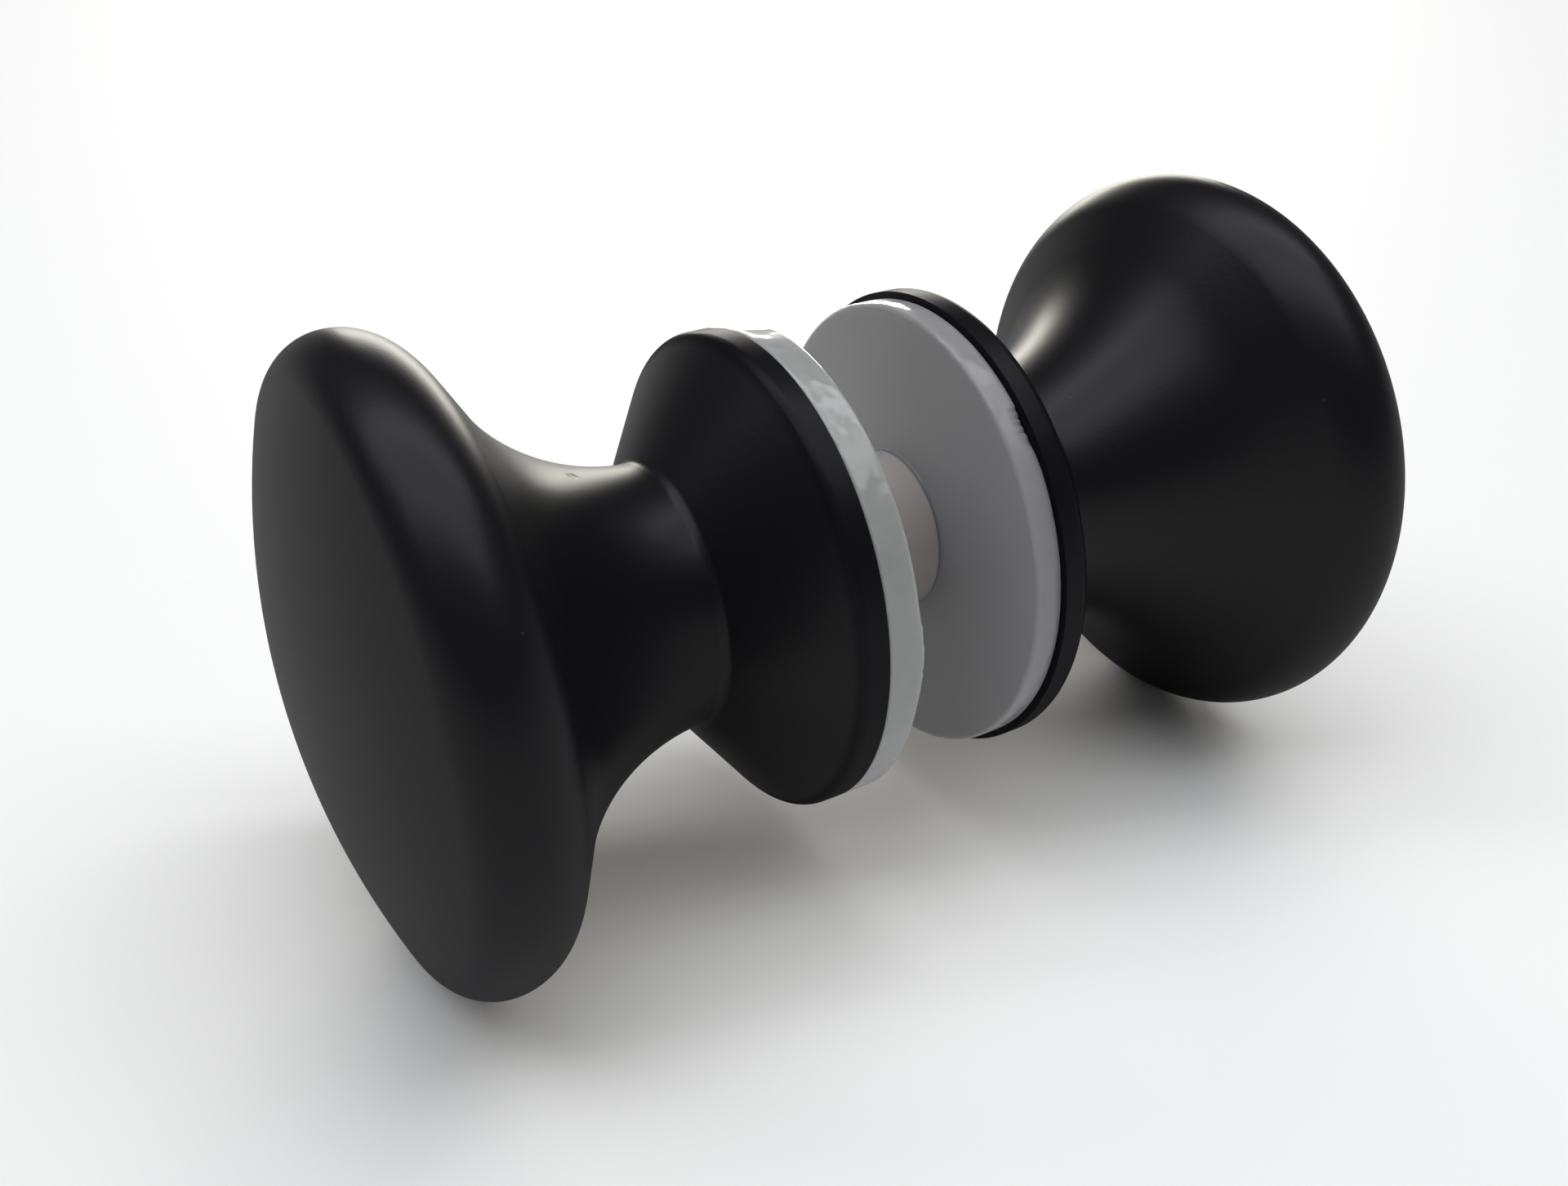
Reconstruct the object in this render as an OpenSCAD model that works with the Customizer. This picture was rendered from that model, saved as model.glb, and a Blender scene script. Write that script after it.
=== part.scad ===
// Knob set for a glass shower door: a knob on each face of the glass, with the pieces that clamp them to it.
// Millimetres. All the pieces share one axis, which is Y, with the outer knob towards -Y, and +Z is up.
// The origin is on that axis, midway between the seats of the two knobs.

/* [Base flange of each knob] */
// Diameter of the flange that faces the glass
base_d = 32; // [29:0.5:38]
// Height of the straight rim round the flange
base_rim_h = 1.6; // [1:0.1:2.5]
// Height from the seat to where the cone meets the neck
base_h = 7; // [5:0.1:9]
// Rounding of the outer edge of the flange
base_edge_r = 0.8; // [0.2:0.1:1.2]
// Rounding of the inner corner between the cone and the neck
crease_r = 0.8; // [0.2:0.1:1.2]

/* [Neck and flare of each knob] */
// Diameter of the neck where it leaves the cone
neck_d = 17.4; // [13:0.1:20]
// Taper of the neck to one side, in degrees
neck_taper = 4.5; // [0:0.5:9]
// Radius of the hollow curve from the neck to the back of the head
flare_r = 14.7; // [5:0.1:15]
// Slope of the back of the head against the axis, in degrees
flare_angle = 58.5; // [50:0.5:65]

/* [Head of each knob] */
// Largest diameter of the head
head_d = 40.8; // [36:0.2:46]
// Rounding of the rim towards the back
head_back_r = 4; // [2.5:0.1:5]
// Rounding of the rim towards the front
head_front_r = 3.6; // [2.5:0.1:5]
// Radius of the domed front
dome_r = 50; // [35:1:120]
// Distance from the seat to the crown of the front
projection = 30.75; // [28:0.25:38]

/* [Stud and threaded holes] */
// Outside diameter of the stud's thread
stud_d = 6; // [4:0.5:8]
// Length of the stud
stud_l = 35; // [26:0.5:40]
// Chamfer at each end of the stud
stud_chamfer = 0.8; // [0.2:0.1:1.2]
// Gap round the stud in the knobs' holes
thread_clearance = 0.05; // [0.02:0.01:0.2]
// Depth of the full thread in each knob
hole_depth = 12.5; // [11.5:0.5:15]
// Chamfer at the mouth of each threaded hole
hole_chamfer = 0.5; // [0.2:0.1:1]
// Angle of the drill's point at the bottom of the hole
drill_point_angle = 118; // [90:1:140]

/* [Glass] */
// Thickness of the glass that the set is made for
glass_t = 8; // [6:0.5:12]
// How far the washers stand open beyond the glass before the knobs are screwed up
open_play = 1; // [0:0.1:1.2]

/* [Washers] */
// Diameter of the outer washer
outer_washer_d = 32; // [26:0.1:36]
// Thickness of the outer washer
outer_washer_t = 2.4; // [1:0.1:3]
// Diameter of the inner washer
inner_washer_d = 31.1; // [26:0.1:36]
// Thickness of the inner washer
inner_washer_t = 1.9; // [1.6:0.1:3]
// Gap round the sleeve in the washers' holes
washer_play = 0.08; // [0.05:0.01:0.3]
// Rounding of the washers' outer edges
washer_edge_r = 0.25; // [0.05:0.05:0.4]
// Rounding of the edges of the washers' holes
washer_hole_edge_r = 0.2; // [0.05:0.05:0.4]

/* [Sleeve] */
// Outside diameter of the sleeve that lines the hole in the glass
sleeve_d = 10.9; // [9:0.1:12]
// Gap round the stud inside the sleeve
sleeve_play = 0.3; // [0.1:0.05:0.6]
// How much shorter the sleeve is than the washers and the glass together
sleeve_short = 0.3; // [0.1:0.05:0.5]
// Rounding of the sleeve's edges
sleeve_edge_r = 0.3; // [0.1:0.05:0.5]

/* [Hidden] */

// Smoothness of the large and the small round stretches of an outline, in degrees a step
arc_step = 4;
edge_step = 15;
// Smoothness of the turned solids
$fn = 120;
// How far a cut runs past the face that it opens
overrun = 1;

knob_colour = [0.09, 0.09, 0.10];
washer_colour = [0.62, 0.63, 0.62];
sleeve_colour = [0.66, 0.64, 0.60];
steel_colour = [0.72, 0.73, 0.75];

// The washers and the glass screwed up tight, and the same stack standing open between the knobs' seats
tight_l = outer_washer_t + glass_t + inner_washer_t;
outer_seat_y = -(tight_l + open_play) / 2;
inner_seat_y = (tight_l + open_play) / 2;

// Outline points are [distance from the axis, height above the seat], and directions are unit vectors
function unit(v) = v / norm(v);
function slope(angle) = [sin(angle), cos(angle)];
function across(angle) = [cos(angle), -sin(angle)];

// Where the line through p along u meets the line through q along v
function meet(p, u, q, v) = p + u * cross(q - p, v) / cross(u, v);

// Points on an arc about centre c, from angle a to angle b
function arc(c, r, a, b, step = arc_step) =
    let (n = max(2, ceil(abs(b - a) / step)))
    [for (i = [0:n]) c + r * [cos(a + (b - a) * i / n), sin(a + (b - a) * i / n)]];

// Half the angle between the two sides of the corner at q
function half_corner(p, q, s) = acos(unit(p - q) * unit(s - q)) / 2;

// Points on the arc that rounds the corner at q, on the way from p to s
function rounded(p, q, s, r, step = arc_step) =
    let (
        half = half_corner(p, q, s),
        back = unit(p - q),
        on = unit(s - q),
        c = q + unit(back + on) * r / sin(half),
        first = q + back * r / tan(half) - c,
        turn = (cross(back, on) < 0 ? 1 : -1) * (180 - 2 * half),
        start = atan2(first[1], first[0])
    )
    arc(c, r, start, start + turn, step);

// The head is two rim arcs that share the widest plane, under a dome that touches the front one
head_r = head_d / 2;
dome_s = projection - dome_r;
front_c_r = head_r - head_front_r;
head_s = dome_s + sqrt(pow(dome_r - head_front_r, 2) - pow(front_c_r, 2));
front_angle = atan2(head_s - dome_s, front_c_r);
back_c = [head_r - head_back_r, head_s];

// The back of the head is a straight slope that leaves the rim arc and runs down to the neck's line
rim_point = [base_d / 2, base_rim_h];
neck_point = [neck_d / 2, base_h];
slope_point = back_c + head_back_r * across(flare_angle);
flare_corner = meet(neck_point, slope(neck_taper), slope_point, slope(flare_angle));

// The hollow curve is no larger than the two straight stretches beside it leave room for
crease_used = crease_r / tan(half_corner(rim_point, neck_point, flare_corner));
flare_half = half_corner(neck_point, flare_corner, slope_point);
neck_room = norm(flare_corner - neck_point) - crease_used;
slope_room = norm(slope_point - flare_corner);
flare_fit_r = min(flare_r, min(neck_room, slope_room) * tan(flare_half));

// The rounded outer edge stays on the rim and leaves a straight stretch of it
edge_room = base_rim_h * tan(half_corner([base_d / 2, 0], rim_point, neck_point));
base_edge_fit_r = min(base_edge_r, edge_room);

knob_outline = concat(
    [[0, 0], [base_d / 2, 0]],
    rounded([base_d / 2, 0], rim_point, neck_point, base_edge_fit_r),
    rounded(rim_point, neck_point, flare_corner, crease_r),
    rounded(neck_point, flare_corner, slope_point, flare_fit_r),
    arc(back_c, head_back_r, -flare_angle, 0),
    arc([front_c_r, head_s], head_front_r, 0, front_angle),
    arc([0, dome_s], dome_r, front_angle, 90)
);

// Stands a piece that was drawn up the Z axis on the plane at y, pointing towards -Y or towards +Y
module towards_outside(y) {
    translate([0, y, 0]) rotate([90, 0, 0]) children();
}

module towards_inside(y) {
    translate([0, y, 0]) rotate([-90, 0, 0]) children();
}

// A blind hole for the stud, with a chamfered mouth and the cone that the drill leaves
module threaded_hole() {
    hole_r = stud_d / 2 + thread_clearance;
    translate([0, 0, -overrun]) cylinder(h = hole_depth + overrun, r = hole_r);
    translate([0, 0, hole_depth]) cylinder(h = hole_r / tan(drill_point_angle / 2), r1 = hole_r, r2 = 0);
    translate([0, 0, -overrun])
        cylinder(h = hole_chamfer + overrun, r1 = hole_r + hole_chamfer + overrun, r2 = hole_r);
}

// One knob in a single piece: flange, neck and head, turned about Z with its seat at zero
module knob() {
    difference() {
        rotate_extrude() polygon(knob_outline);
        threaded_hole();
    }
}

// A ring with its four edges rounded, from z = 0 to its length
module ring(outer_d, hole_d, l, edge_r, hole_edge_r) {
    corners = [[outer_d / 2, 0], [outer_d / 2, l], [hole_d / 2, l], [hole_d / 2, 0]];
    radii = [edge_r, edge_r, hole_edge_r, hole_edge_r];
    rotate_extrude() polygon([
        for (i = [0:3]) each rounded(corners[(i + 3) % 4], corners[i], corners[(i + 1) % 4], radii[i], edge_step)
    ]);
}

// A washer has a hole that the sleeve passes through with a little play
module washer(d, t) {
    ring(d, sleeve_d + 2 * washer_play, t, washer_edge_r, washer_hole_edge_r);
}

module outer_knob() {
    color(knob_colour) towards_outside(outer_seat_y) knob();
}

module inner_knob() {
    color(knob_colour) towards_inside(inner_seat_y) knob();
}

module outer_washer() {
    color(washer_colour) towards_inside(outer_seat_y) washer(outer_washer_d, outer_washer_t);
}

module inner_washer() {
    color(washer_colour) towards_outside(inner_seat_y) washer(inner_washer_d, inner_washer_t);
}

// Tube that keeps the stud off the glass. It stands on the outer knob's seat and passes through both washers,
// and it is a little short of the tight stack, so that the knobs press on the washers and not on the tube.
module spacer_sleeve() {
    color(sleeve_colour) towards_inside(outer_seat_y)
        ring(sleeve_d, stud_d + 2 * sleeve_play, tight_l - sleeve_short, sleeve_edge_r, sleeve_edge_r);
}

// Steel stud, chamfered at both ends, drawn to the outside of its thread
module threaded_stud() {
    stud_r = stud_d / 2;
    tip_r = stud_r - stud_chamfer;
    color(steel_colour) towards_inside(-stud_l / 2) rotate_extrude() polygon([
        [0, 0],
        [tip_r, 0],
        [stud_r, stud_chamfer],
        [stud_r, stud_l - stud_chamfer],
        [tip_r, stud_l],
        [0, stud_l]
    ]);
}

outer_knob();
inner_knob();
outer_washer();
inner_washer();
spacer_sleeve();
threaded_stud();
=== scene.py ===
# A shower door handle: two round knobs back to back, one for each side of a glass door, with the washers,
# the sleeve and the stud that clamp them to the glass. They lie on one axis, which is Y, and +Z is up.

from math import cos, pi, radians, sin

import bpy
import numpy as np
from mathutils import Matrix, Vector


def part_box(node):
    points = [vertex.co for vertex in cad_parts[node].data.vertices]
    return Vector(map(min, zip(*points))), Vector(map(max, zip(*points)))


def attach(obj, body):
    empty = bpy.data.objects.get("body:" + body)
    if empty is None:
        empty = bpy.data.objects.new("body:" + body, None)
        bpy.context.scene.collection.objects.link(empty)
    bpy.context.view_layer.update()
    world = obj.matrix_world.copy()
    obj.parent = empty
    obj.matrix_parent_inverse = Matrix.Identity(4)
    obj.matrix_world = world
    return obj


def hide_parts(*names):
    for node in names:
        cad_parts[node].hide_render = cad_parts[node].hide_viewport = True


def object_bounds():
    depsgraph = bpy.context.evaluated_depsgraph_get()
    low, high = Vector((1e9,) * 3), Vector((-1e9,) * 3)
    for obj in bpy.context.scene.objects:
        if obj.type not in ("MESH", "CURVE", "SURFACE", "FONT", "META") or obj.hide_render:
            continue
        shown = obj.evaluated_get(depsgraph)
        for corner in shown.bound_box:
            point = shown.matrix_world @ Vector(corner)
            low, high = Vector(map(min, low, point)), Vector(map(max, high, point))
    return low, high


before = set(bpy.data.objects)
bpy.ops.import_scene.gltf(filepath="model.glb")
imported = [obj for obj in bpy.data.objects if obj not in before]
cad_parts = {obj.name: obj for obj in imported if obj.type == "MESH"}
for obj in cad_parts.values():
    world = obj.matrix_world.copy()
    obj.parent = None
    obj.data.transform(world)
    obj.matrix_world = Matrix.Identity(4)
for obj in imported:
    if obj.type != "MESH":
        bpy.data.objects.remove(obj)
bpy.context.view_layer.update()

# The two knobs
# Each is turned from one bar of aluminium: a cone that stands on the glass, a waisted neck and a domed head.
# A satin black coating covers it all. The threaded blind hole in its seat takes half of the stud.

MM = 0.001


def arc(centre, radius, start, stop, step):
    """Points of a circle: the centre plus the radius times the cosine and the sine of an angle. The angle
    goes from start to stop in degrees, by about a step at a time."""
    count = max(2, int(np.ceil(abs(stop - start) / step)))
    angle = np.radians(np.linspace(start, stop, count + 1))
    return np.add(centre, radius * np.column_stack([np.cos(angle), np.sin(angle)]))


def towards(a, b):
    """Unit vector from a to b."""
    way = np.subtract(b, a)
    return way / np.hypot(*way)


def half_corner(before, corner, after):
    """Half the angle between the two sides of a corner."""
    return np.arccos(towards(corner, before) @ towards(corner, after)) / 2


def rounded(before, corner, after, radius, step):
    """The arc that touches both sides of a corner. Its centre is on the corner's bisector, and its distance
    from the corner is the radius over the sine of half the corner's angle. It starts and ends on the sides,
    where the distance from the corner is the radius over the tangent of that half angle."""
    half = half_corner(before, corner, after)
    back = towards(corner, before)
    onward = towards(corner, after)
    centre = corner + (back + onward) / np.hypot(*(back + onward)) * radius / sin(half)
    first = corner + back * radius / np.tan(half) - centre
    start = np.degrees(np.arctan2(first[1], first[0]))
    turn = (180 - 2 * np.degrees(half)) * (1 if np.linalg.det([back, onward]) < 0 else -1)
    return arc(centre, radius, start, start + turn, step)


def slope(degrees):
    """Direction that leans away from the axis by that angle, as [outwards, along the axis]."""
    return np.array([sin(radians(degrees)), cos(radians(degrees))])


def meet(p, u, q, v):
    """Where the line through p along u meets the line through q along v."""
    return p + u * np.linalg.det([np.subtract(q, p), v]) / np.linalg.det([u, v])


def outline_of_knob(head_r, projection):
    """The knob's outline from the crown of its head to the bottom of its hole, as [distance from the axis,
    height above the seat] in millimetres. Straight stretches and arcs touch each other without a break:
    dome, rim, hollow back, neck, crease, cone, edge, seat, and the hole's mouth, wall and drilled point."""
    base_r, base_rim_h, base_h = 16.0, 1.6, 7.0
    edge_r, crease_r = 0.8, 0.8
    neck_r, neck_taper = 8.7, 4.5
    flare_r, flare_angle = 14.7, 58.5
    head_back_r, head_front_r, dome_r = 4.0, 3.6, 50.0
    hole_r, hole_depth, hole_chamfer, point_angle = 3.05, 12.5, 0.5, 59.0
    long_arc_step, rim_step, small_arc_step = 1.2, 2.0, 6.0

    dome_s = projection - dome_r
    front_c = head_r - head_front_r
    head_s = dome_s + np.sqrt((dome_r - head_front_r) ** 2 - front_c**2)
    front_angle = np.degrees(np.arctan2(head_s - dome_s, front_c))
    back_c = np.array([head_r - head_back_r, head_s])
    rim_point = np.array([base_r, base_rim_h])
    neck_point = np.array([neck_r, base_h])
    leaving = back_c + head_back_r * np.array([cos(radians(flare_angle)), -sin(radians(flare_angle))])
    flare_corner = meet(neck_point, slope(neck_taper), leaving, slope(flare_angle))
    crease_used = crease_r / np.tan(half_corner(rim_point, neck_point, flare_corner))
    room = min(np.hypot(*(flare_corner - neck_point)) - crease_used, np.hypot(*(leaving - flare_corner)))
    flare_fit_r = min(flare_r, room * np.tan(half_corner(neck_point, flare_corner, leaving)))
    seat_edge = np.array([base_r, 0.0])
    return np.vstack([
        arc([0, dome_s], dome_r, 90, front_angle, long_arc_step),
        arc([front_c, head_s], head_front_r, front_angle, 0, rim_step)[1:],
        arc(back_c, head_back_r, 0, -flare_angle, rim_step)[1:],
        rounded(leaving, flare_corner, neck_point, flare_fit_r, long_arc_step),
        rounded(flare_corner, neck_point, rim_point, crease_r, small_arc_step),
        rounded(neck_point, rim_point, seat_edge, edge_r, small_arc_step),
        [seat_edge],
        [[hole_r + hole_chamfer, 0]],
        [[hole_r, hole_chamfer]],
        [[hole_r, hole_depth]],
        [[0, hole_depth + hole_r / np.tan(radians(point_angle))]],
    ])


def carried_round(name, radius, along, turns=240):
    """A mesh in metres from a section carried round the Y axis. At each angle of a full turn, a point of the
    section goes to [its radius times the cosine, its place along the axis, its radius times the sine]. The
    radius and the place may also be given for each angle, as arrays of [point, angle]. A section that starts
    and ends on the axis is closed by a single point at each end, and any other section is closed on itself.
    Seen with the radius to the right and Y up, it runs anticlockwise, so that its faces look outwards."""
    sharpest_smooth = radians(30)
    angle = np.arange(turns) * 2 * pi / turns
    radius = radius if np.ndim(radius) == 2 else np.repeat(np.asarray(radius)[:, None], turns, 1)
    along = along if np.ndim(along) == 2 else np.repeat(np.asarray(along)[:, None], turns, 1)
    places = np.stack([radius * np.cos(angle), along, radius * np.sin(angle)], -1)
    has_poles = radius[0, 0] == 0 and radius[-1, 0] == 0
    rows = places[1:-1] if has_poles else places
    count = len(rows)
    points = rows.reshape(-1, 3)
    index = np.arange(count * turns).reshape(count, turns)
    ring = index if has_poles else np.vstack([index, index[:1]])
    beside = np.roll(ring, -1, 1)
    faces = np.stack([ring[:-1], ring[1:], beside[1:], beside[:-1]], -1).reshape(-1, 4).tolist()
    if has_poles:
        points = np.vstack([points, places[0, 0], places[-1, 0]])
        pole = np.full(turns, count * turns)
        faces += np.column_stack([pole, ring[0], beside[0]]).tolist()
        faces += np.column_stack([ring[-1], pole + 1, beside[-1]]).tolist()
    mesh = bpy.data.meshes.new(name)
    mesh.from_pydata((points * MM).tolist(), [], faces)
    mesh.polygons.foreach_set("use_smooth", np.ones(len(mesh.polygons), bool))
    mesh.set_sharp_from_angle(angle=sharpest_smooth)
    mesh.update()
    piece = bpy.data.objects.new(name, mesh)
    bpy.context.scene.collection.objects.link(piece)
    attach(piece, "root")
    return piece


def add_node(material, kind, values=None, **properties):
    """A new shader node, with its properties set, and each named input set to a value or joined to a
    socket."""
    node = material.node_tree.nodes.new(kind)
    for name, value in properties.items():
        setattr(node, name, value)
    for name, value in (values or {}).items():
        if isinstance(value, bpy.types.NodeSocket):
            material.node_tree.links.new(value, node.inputs[name])
        else:
            node.inputs[name].default_value = value
    return node


def ramp_between(material, value, low, high, to_low, to_high):
    """Maps a value smoothly from the stretch low to high onto the stretch to_low to to_high, and holds it at
    their ends beyond."""
    node = add_node(
        material,
        "ShaderNodeMapRange",
        {"Value": value, "From Min": low, "From Max": high, "To Min": to_low, "To Max": to_high},
        interpolation_type="SMOOTHSTEP",
    )
    return node.outputs["Result"]


def new_material(name):
    """A material with its own Principled shader, and the piece's own coordinates in metres."""
    material = bpy.data.materials.new(name)
    material.use_nodes = True
    shader = material.node_tree.nodes["Principled BSDF"]
    place = add_node(material, "ShaderNodeTexCoord").outputs["Object"]
    return material, shader, place


def join(material, socket, shader, name):
    """Joins a socket to the shader's input of that name."""
    material.node_tree.links.new(socket, shader.inputs[name])


def near_spot(material, place, spot, core, reach):
    """1 within the core of a spot, falling to 0 at its reach. All are in millimetres."""
    away = add_node(
        material, "ShaderNodeVectorMath", {0: place, 1: [c * MM for c in spot]}, operation="DISTANCE"
    )
    return ramp_between(material, away.outputs["Value"], core * MM, reach * MM, 1.0, 0.0)


def distance_from_axis(material, place):
    """Length of a place with its Y left out."""
    flat = add_node(material, "ShaderNodeVectorMath", {0: place, 1: (1, 0, 1)}, operation="MULTIPLY")
    out = add_node(material, "ShaderNodeVectorMath", {0: flat.outputs[0]}, operation="LENGTH")
    return out.outputs["Value"]


def satin_black_coating():
    """Near-black base under a thin satin coat, with a fine orange-peel grain and a few specks of dust. The
    coat is thinner on the rims of the two flanges. A small pit lies on the outer knob's neck, where it
    catches the light, and two larger specks lie on the inner knob. Lengths are in millimetres, but those of
    the dust are in shares of its cells, and only a cell with a high random tone holds a speck."""
    black, dust_grey = (0.006, 0.006, 0.0075, 1), (0.035, 0.035, 0.035, 1)
    coat_weight, less_on_rims = 0.28, 0.14
    flange_to_y, past_flange_y = 10.0, 14.0
    rim_from_r, rim_full_r = 15.1, 15.8
    cloud_low, cloud_high, satin, duller = 0.35, 0.65, 0.45, 0.6
    grain_depth, pit_in_grains = 0.007, 10.0
    pit_place, pit_core, pit_reach = (0.38, -19.3, 10.1), 0.02, 0.55
    dust_core, dust_reach, dusty_from, dusty_by = 0.012, 0.03, 0.62, 0.66
    speck_places = (3.5, 16.5, 8.41), (15.7, 27.4, 10.3)
    speck_core, speck_reach = 0.03, 0.12

    material, shader, place = new_material("satin_black_coating")
    side = add_node(material, "ShaderNodeSeparateXYZ", {"Vector": place})
    from_middle = add_node(material, "ShaderNodeMath", {0: side.outputs["Y"]}, operation="ABSOLUTE")
    flange = ramp_between(material, from_middle.outputs[0], flange_to_y * MM, past_flange_y * MM, 1.0, 0.0)
    out = distance_from_axis(material, place)
    rim = ramp_between(material, out, rim_from_r * MM, rim_full_r * MM, 0.0, -less_on_rims)
    coat = add_node(
        material, "ShaderNodeMath", {0: rim, 1: flange, 2: coat_weight}, operation="MULTIPLY_ADD"
    )
    cloud = add_node(material, "ShaderNodeTexNoise", {"Vector": place, "Scale": 110.0, "Detail": 3.0})
    rough = ramp_between(material, cloud.outputs["Fac"], cloud_low, cloud_high, satin, duller)
    grain = add_node(material, "ShaderNodeTexNoise", {"Vector": place, "Scale": 4200.0, "Detail": 1.0})
    pit = near_spot(material, place, pit_place, pit_core, pit_reach)
    dented = add_node(
        material,
        "ShaderNodeMath",
        {0: pit, 1: -pit_in_grains, 2: grain.outputs["Fac"]},
        operation="MULTIPLY_ADD",
    )
    bump = add_node(
        material,
        "ShaderNodeBump",
        {"Height": dented.outputs[0], "Strength": 0.8, "Distance": grain_depth * MM},
    )
    cells = add_node(material, "ShaderNodeTexVoronoi", {"Vector": place, "Scale": 210.0})
    near = ramp_between(material, cells.outputs["Distance"], dust_core, dust_reach, 1.0, 0.0)
    chosen = ramp_between(material, cells.outputs["Color"], dusty_from, dusty_by, 0.0, 1.0)
    dust = add_node(material, "ShaderNodeMath", {0: near, 1: chosen}, operation="MULTIPLY")
    for spot in speck_places:
        speck = near_spot(material, place, spot, speck_core, speck_reach)
        dust = add_node(material, "ShaderNodeMath", {0: dust.outputs[0], 1: speck}, operation="MAXIMUM")
    colour = add_node(
        material, "ShaderNodeMix", {"Factor": dust.outputs[0], 6: black, 7: dust_grey}, data_type="RGBA"
    )
    join(material, colour.outputs[2], shader, "Base Color")
    join(material, rough, shader, "Roughness")
    join(material, bump.outputs["Normal"], shader, "Normal")
    join(material, bump.outputs["Normal"], shader, "Coat Normal")
    join(material, coat.outputs[0], shader, "Coat Weight")
    shader.inputs["Specular IOR Level"].default_value = 0.0
    shader.inputs["Coat IOR"].default_value = 1.6
    shader.inputs["Coat Roughness"].default_value = 0.35
    return material


coating = satin_black_coating()
for knob, outwards in (("outer_knob", -1), ("inner_knob", 1)):
    low, high = (np.array(corner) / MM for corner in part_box(knob))
    seat_y = high[1] if outwards < 0 else low[1]
    outline = outline_of_knob(high[0], high[1] - low[1])[::-outwards]
    piece = carried_round(knob + "_coated", outline[:, 0], seat_y + outwards * outline[:, 1])
    piece.data.materials.append(coating)
    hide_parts(knob)

# The two washers
# Flat rings moulded from translucent grey-white plastic, each held between its knob and the glass to keep
# the metal off it. Their outer walls are glossy and a little uneven, with small moulding flaws.


def ring_section(inner_r, outer_r, low_y, high_y, radii, wall_rows):
    """Section of a ring, anticlockwise from its lower inner corner, with the radii of its edges in that
    order. A negative radius, on an inner edge, is that of the hollow side of a lip that stands out along the
    axis."""
    corners = np.array([[inner_r, low_y], [outer_r, low_y], [outer_r, high_y], [inner_r, high_y]])
    step = 15.0
    edges = []
    for i, radius in enumerate(radii):
        if radius < 0 and i == 0:
            edges.append(arc(corners[i] + [-radius, radius], -radius, 180, 90, step))
        elif radius < 0:
            edges.append(arc(corners[i] + [-radius, -radius], -radius, 270, 180, step))
        else:
            edges.append(rounded(corners[i - 1], corners[i], corners[(i + 1) % 4], radius, step))
    wall = np.linspace(edges[1][-1], edges[2][0], wall_rows + 1)[1:-1]
    return np.vstack([edges[0], edges[1], wall, edges[2], edges[3]])


def moulded_plastic(name, colour, shine, wall_r, face_roughness, wall_roughness, ripple_depth):
    """Cloudy plastic that lets light in a little way. It is satin on its faces, and glossier with a shallow
    ripple on its outer wall. Shine is its specular level, 0.5 for a clean surface. The wall's radius and the
    ripple's depth are in millimetres."""
    wall_from_r, wall_full_r = wall_r - 0.3, wall_r - 0.1
    darker_share = 0.94

    material, shader, place = new_material(name)
    out = distance_from_axis(material, place)
    rough = ramp_between(material, out, wall_from_r * MM, wall_full_r * MM, face_roughness, wall_roughness)
    on_wall = ramp_between(material, out, wall_from_r * MM, wall_full_r * MM, 0.0, 1.0)
    cloud = add_node(material, "ShaderNodeTexNoise", {"Vector": place, "Scale": 160.0, "Detail": 3.0})
    tint = add_node(
        material,
        "ShaderNodeMix",
        {"Factor": cloud.outputs["Fac"], 6: [c * darker_share for c in colour] + [1], 7: [*colour, 1]},
        data_type="RGBA",
    )
    ripple = add_node(material, "ShaderNodeTexNoise", {"Vector": place, "Scale": 620.0, "Detail": 1.0})
    bump = add_node(
        material,
        "ShaderNodeBump",
        {"Height": ripple.outputs["Fac"], "Strength": on_wall, "Distance": ripple_depth * MM},
    )
    join(material, tint.outputs[2], shader, "Base Color")
    join(material, rough, shader, "Roughness")
    join(material, bump.outputs["Normal"], shader, "Normal")
    shader.inputs["Subsurface Weight"].default_value = 0.7
    shader.inputs["Subsurface Radius"].default_value = (1.0, 1.0, 0.95)
    shader.inputs["Subsurface Scale"].default_value = 0.0012
    shader.inputs["IOR"].default_value = 1.49
    shader.inputs["Specular IOR Level"].default_value = shine
    return material


def flaws_at(turns, marks):
    """Size of a flaw at each angle of a turn, in a straight line between marks of [degrees, millimetres]."""
    degrees = (np.arange(turns) * 360 / turns + 180) % 360 - 180
    at, size = np.array(marks).T
    return np.interp(degrees, at, size, left=0, right=0)


def fading_from(section, corner, reach):
    """1 at a corner of the section, falling evenly to 0 at that reach from it."""
    return np.clip(1 - np.hypot(*(section - corner).T) / reach, 0, 1)


# The outer washer's edge stands out a little towards the glass on the camera's side, in uneven steps.
# The inner washer's edge is cut back beside its knob, where the moulding's gate was trimmed off.
edge_bulge = (
    (-11, 0), (-6, 0.09), (-1.3, 0.19), (-0.6, 0.1), (0.2, 0.21), (5.2, 0.24), (5.8, 0.17), (10.3, 0.16),
    (10.9, 0.06), (15, 0),
)
gate_cut = (
    (36, 0), (40, 0.08), (43, 0.26), (44.5, 0.2), (45.5, 0.34), (46.5, 0.22), (47.5, 0.36), (48.3, 0.2),
    (49, 0.3), (50, 0.12), (51, 0.16), (52, 0),
)
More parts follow.
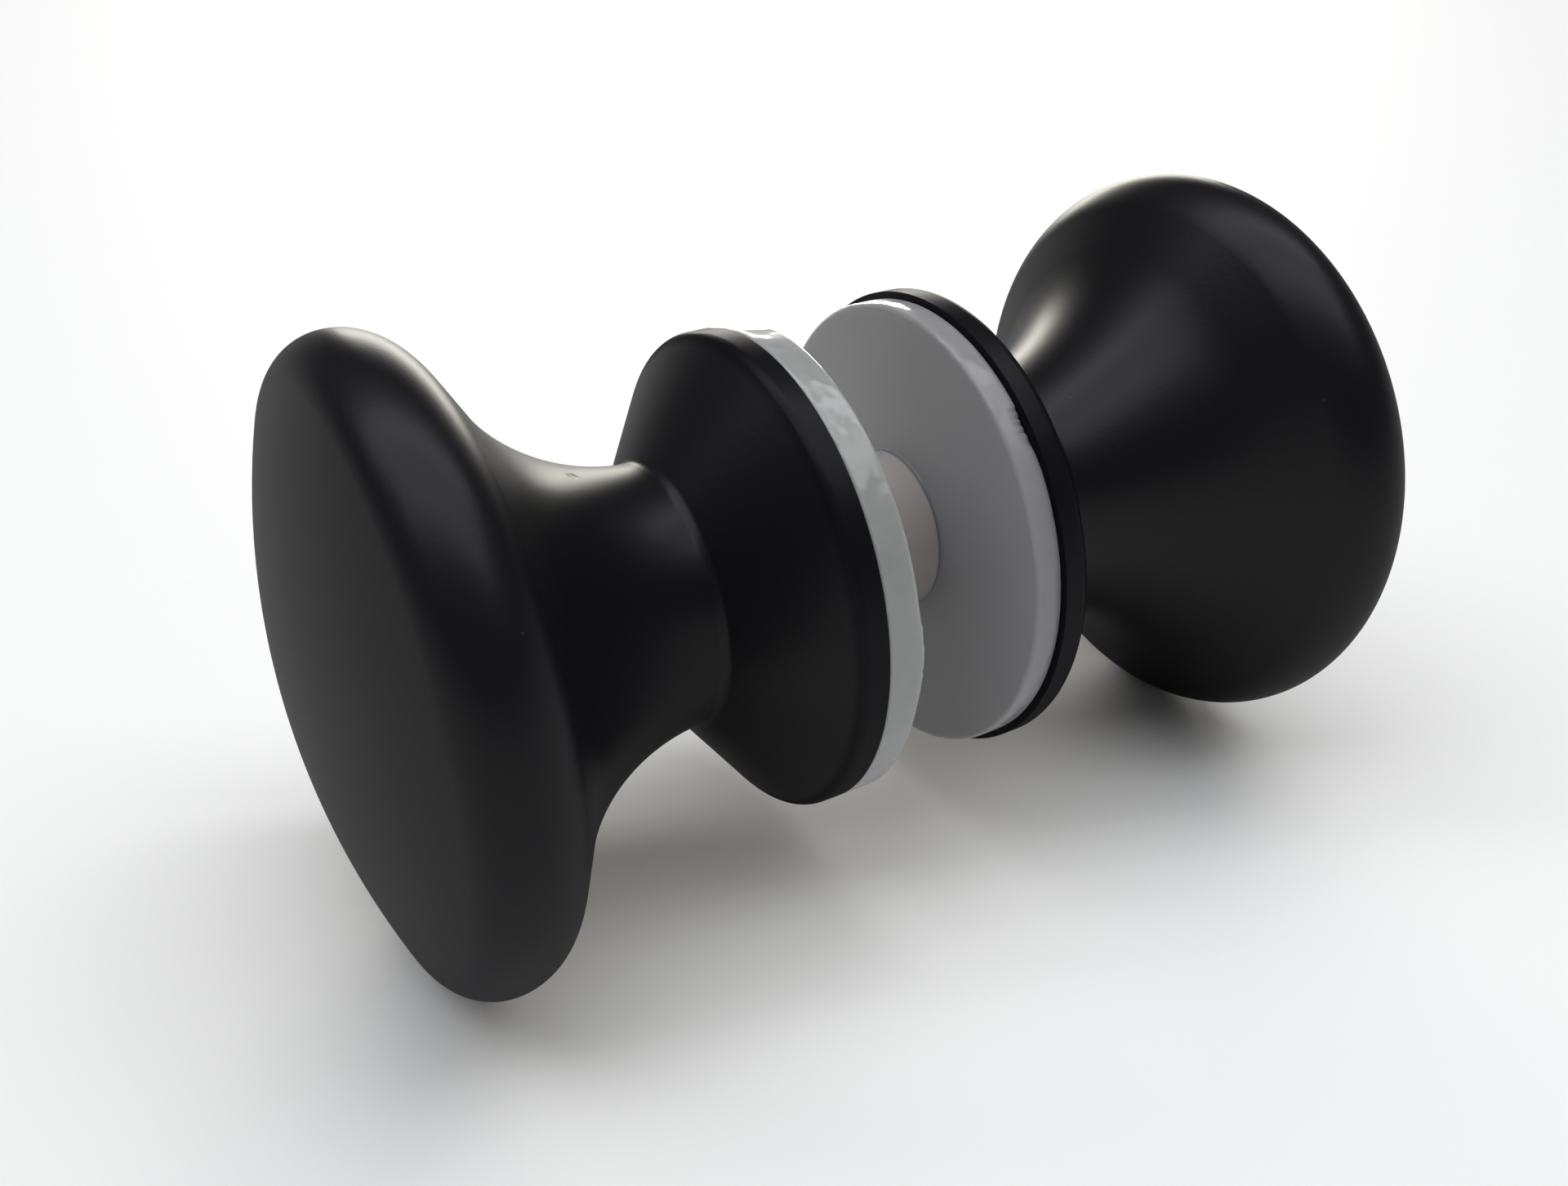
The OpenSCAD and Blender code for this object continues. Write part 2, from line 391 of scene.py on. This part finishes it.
# Each flaw moves the edge by its size, in a direction given as [outwards, along the axis].
stands_out, cut_back = (0, 1), (-1, 0)
flaw_reach = 0.9
washer_turns, wall_rows, washer_hole_r = 720, 10, 5.46
for washer, radii, marks, move, colour, shine in (
    ("outer_washer", (0.05, 0.25, 0.3, -0.25), edge_bulge, stands_out, (0.345, 0.35, 0.345), 0.5),
    # The inner washer is the same plastic as the outer one. Its colour is set darker as painted shade for
    # its face, which lies in the narrow gap between the washers, and its faint blue lean is a painted
    # reflection of a bluish sky.
    ("inner_washer", (-0.25, 0.3, 0.2, 0.05), gate_cut, cut_back, (0.295, 0.293, 0.302), 0.25),
):
    low, high = (np.array(corner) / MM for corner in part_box(washer))
    section = ring_section(washer_hole_r, high[0], low[1], high[1], radii, wall_rows)
    flaw = flaws_at(washer_turns, marks) * fading_from(section, [high[0], high[1]], flaw_reach)[:, None]
    piece = carried_round(
        washer + "_ring", section[:, :1] + move[0] * flaw, section[:, 1:] + move[1] * flaw, washer_turns
    )
    plastic = moulded_plastic(
        washer + "_plastic",
        colour,
        shine,
        wall_r=high[0],
        face_roughness=0.38,
        wall_roughness=0.2,
        ripple_depth=0.18,
    )
    piece.data.materials.append(plastic)
    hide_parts(washer)

# The sleeve
# A short tube of warm grey translucent plastic, cut to length. It lines the hole in the glass, passes
# through both washers and keeps the steel stud off the glass.

low, high = (np.array(corner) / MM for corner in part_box("spacer_sleeve"))
bore_r, sleeve_edge_r, sleeve_rows = 3.3, 0.3, 24
section = ring_section(bore_r, high[0], low[1], high[1], [sleeve_edge_r] * 4, sleeve_rows)
sleeve = carried_round("spacer_sleeve_tube", section[:, 0], section[:, 1])
plastic = moulded_plastic(
    "sleeve_plastic",
    colour=(0.41, 0.38, 0.37),
    shine=0.5,
    wall_r=high[0],
    face_roughness=0.3,
    wall_roughness=0.22,
    ripple_depth=0.05,
)
sleeve.data.materials.append(plastic)
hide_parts("spacer_sleeve")

# The stud
# Bright zinc-plated steel rod with an M6 thread rolled along all its length. It screws into both knobs and
# pulls them together. It is hidden by the sleeve and the knobs.


def threaded_rod(name, crest_r, start, stop, root_r, pitch, chamfer):
    """A rod along Y whose radius follows a screw thread. The thread's phase is the place along Y over the
    pitch, less the angle over a full turn. The radius goes from root to crest and back once for each phase,
    on straight flanks between a flat root and a flat crest. Near each end a cone cuts it down to the root,
    and a point on the axis closes it."""
    turns, rows_to_a_turn = 240, 8
    ridge_peak, ridge_fall = 1.5, 3.45
    angle = np.arange(turns) * 2 * pi / turns
    along = np.linspace(start, stop, int(round((stop - start) / pitch * rows_to_a_turn)) + 1)
    phase = along[:, None] / pitch - angle / (2 * pi)
    ridge = np.clip(ridge_peak - ridge_fall * np.abs(phase % 1 - 0.5), 0, 1)
    cone = crest_r - chamfer + np.minimum(along - start, stop - along)[:, None]
    radius = np.minimum(root_r + (crest_r - root_r) * ridge, cone)
    pole = np.zeros((1, turns))
    return carried_round(
        name, np.vstack([pole, radius, pole]), np.concatenate([[start], along, [stop]]), turns
    )


def bright_steel():
    """Zinc-plated steel with a faint mottle in its gloss."""
    mottle_low, mottle_high, bright, duller = 0.3, 0.7, 0.22, 0.36
    material, shader, place = new_material("bright_steel")
    mottle = add_node(material, "ShaderNodeTexNoise", {"Vector": place, "Scale": 900.0, "Detail": 2.0})
    rough = ramp_between(material, mottle.outputs["Fac"], mottle_low, mottle_high, bright, duller)
    join(material, rough, shader, "Roughness")
    shader.inputs["Base Color"].default_value = (0.60, 0.61, 0.62, 1)
    shader.inputs["Metallic"].default_value = 1.0
    return material


low, high = (np.array(corner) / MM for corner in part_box("threaded_stud"))
stud = threaded_rod(
    "threaded_stud_rod", crest_r=high[0], start=low[1], stop=high[1], root_r=2.5, pitch=1.0, chamfer=0.8
)
stud.data.materials.append(bright_steel())
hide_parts("threaded_stud")

# The floor and the backdrop
# A pale floor that touches the two heads and keeps their shadow. Far out it takes the backdrop's even tone,
# and the backdrop is pale at the horizon and dim higher up. Distances are in metres.

horizon_tone, upper_tone = 0.62, 0.1


def pale_floor():
    """Satin white floor, which fades further out into the even tone that the backdrop has at the horizon."""
    fades_from, faded_by = 0.5, 1.6
    material, near, place = new_material("pale_floor")
    near.inputs["Base Color"].default_value = (0.85, 0.85, 0.85, 1)
    near.inputs["Roughness"].default_value = 0.6
    near.inputs["Specular IOR Level"].default_value = 0.4
    far = add_node(material, "ShaderNodeEmission", {"Strength": horizon_tone})
    out = add_node(material, "ShaderNodeVectorMath", {0: place}, operation="LENGTH")
    share = ramp_between(material, out.outputs["Value"], fades_from, faded_by, 0.0, 1.0)
    both = add_node(
        material, "ShaderNodeMixShader", {0: share, 1: near.outputs[0], 2: far.outputs[0]}
    )
    tree = material.node_tree
    tree.links.new(both.outputs[0], tree.nodes["Material Output"].inputs["Surface"])
    return material


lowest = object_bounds()[0].z
half_floor = 3.0
floor_mesh = bpy.data.meshes.new("floor")
floor_mesh.from_pydata(
    [(x * half_floor, y * half_floor, lowest) for x, y in ((-1, -1), (1, -1), (1, 1), (-1, 1))],
    [],
    [(0, 1, 2, 3)],
)
floor = bpy.data.objects.new("floor", floor_mesh)
floor.data.materials.append(pale_floor())
bpy.context.scene.collection.objects.link(floor)

# The backdrop's tone changes between these two heights, which are sines of the angle above the horizon.
pale_up_to, dim_from = 0.03, 0.24
world = bpy.data.worlds.new("backdrop")
world.use_nodes = True
bpy.context.scene.world = world
background = world.node_tree.nodes["Background"]
background.inputs["Color"].default_value = (1, 1, 1, 1)
heading = add_node(world, "ShaderNodeTexCoord").outputs["Generated"]
height = add_node(world, "ShaderNodeSeparateXYZ", {"Vector": heading}).outputs["Z"]
tone = ramp_between(world, height, pale_up_to, dim_from, horizon_tone, upper_tone)
join(world, tone, background, "Strength")

# The lights
# Two long panes overhead with a bar between them give most of the light, and glint in the washers' walls. A
# warm window stands low behind the handle and draws the bright lines along the necks. Lengths are in metres.


def panel(name, place, level, width, back, length, radiance, colour):
    """A flat rectangular light centred on a place. Its width runs along the unit vector level, its length
    runs square to that and to the unit vector back, and it shines against back. Its power is pi times its
    radiance times its area."""
    data = bpy.data.lights.new(name, "AREA")
    data.shape = "RECTANGLE"
    data.size = width
    data.size_y = length
    data.energy = pi * radiance * width * length
    data.color = colour
    light = bpy.data.objects.new(name, data)
    axes = Matrix([level, back.cross(level), back]).transposed()
    light.matrix_world = Matrix.Translation(place) @ axes.to_4x4()
    light.visible_camera = False
    bpy.context.scene.collection.objects.link(light)


pane_turn, pane_height, daylight = radians(20), 1.5, (0.97, 0.98, 1.0)
pane_across = Vector((cos(pane_turn), -sin(pane_turn), 0))
pane_along = Vector((sin(pane_turn), cos(pane_turn), 0))
overhead = Vector((0, 0, 1))
for name, across, width, along, length, radiance in (
    ("pane_overhead_left", -0.48, 0.42, -0.4, 3.7, 4.35),
    ("pane_overhead_right", 0.29, 0.78, -0.05, 3.0, 2.55),
):
    place = overhead * pane_height + pane_across * across + pane_along * along
    panel(name, place, pane_across, width, overhead, length, radiance, daylight)

window_azimuth, window_distance, window_height = radians(150), 3.0, 0.3
window_side = Vector((cos(window_azimuth), sin(window_azimuth), 0))
panel(
    "window_behind",
    place=window_side * window_distance + overhead * window_height,
    level=Vector((-sin(window_azimuth), cos(window_azimuth), 0)),
    width=2.0,
    back=window_side,
    length=0.58,
    radiance=25.0,
    colour=(1.0, 0.96, 0.86),
)

# The camera
# It looks down on the handle from the right of the outer knob, close by. Its place, direction and lens were
# fitted to the handle's edges in the photograph.


def look_from(place, azimuth, elevation, lens):
    """A camera at a place in millimetres, which looks back along the direction of that azimuth and elevation
    in degrees, with no roll."""
    a, e = radians(azimuth), radians(elevation)
    right = Vector((cos(a), sin(a), 0))
    back = Vector((sin(a) * cos(e), -cos(a) * cos(e), sin(e)))
    turn = Matrix([right, back.cross(right), back]).transposed()
    data = bpy.data.cameras.new("camera")
    data.sensor_fit = "HORIZONTAL"
    data.sensor_width = 36.0
    data.lens = lens
    data.clip_start = 0.002
    data.clip_end = 20.0
    camera = bpy.data.objects.new("camera", data)
    camera.matrix_world = Matrix.Translation(Vector(place) * MM) @ turn.to_4x4()
    bpy.context.scene.collection.objects.link(camera)
    return camera


bpy.context.scene.camera = look_from(
    place=(79.786, -52.256, 51.378), azimuth=59.007, elevation=30.128, lens=36.376
)
bpy.context.scene.view_settings.view_transform = "Standard"
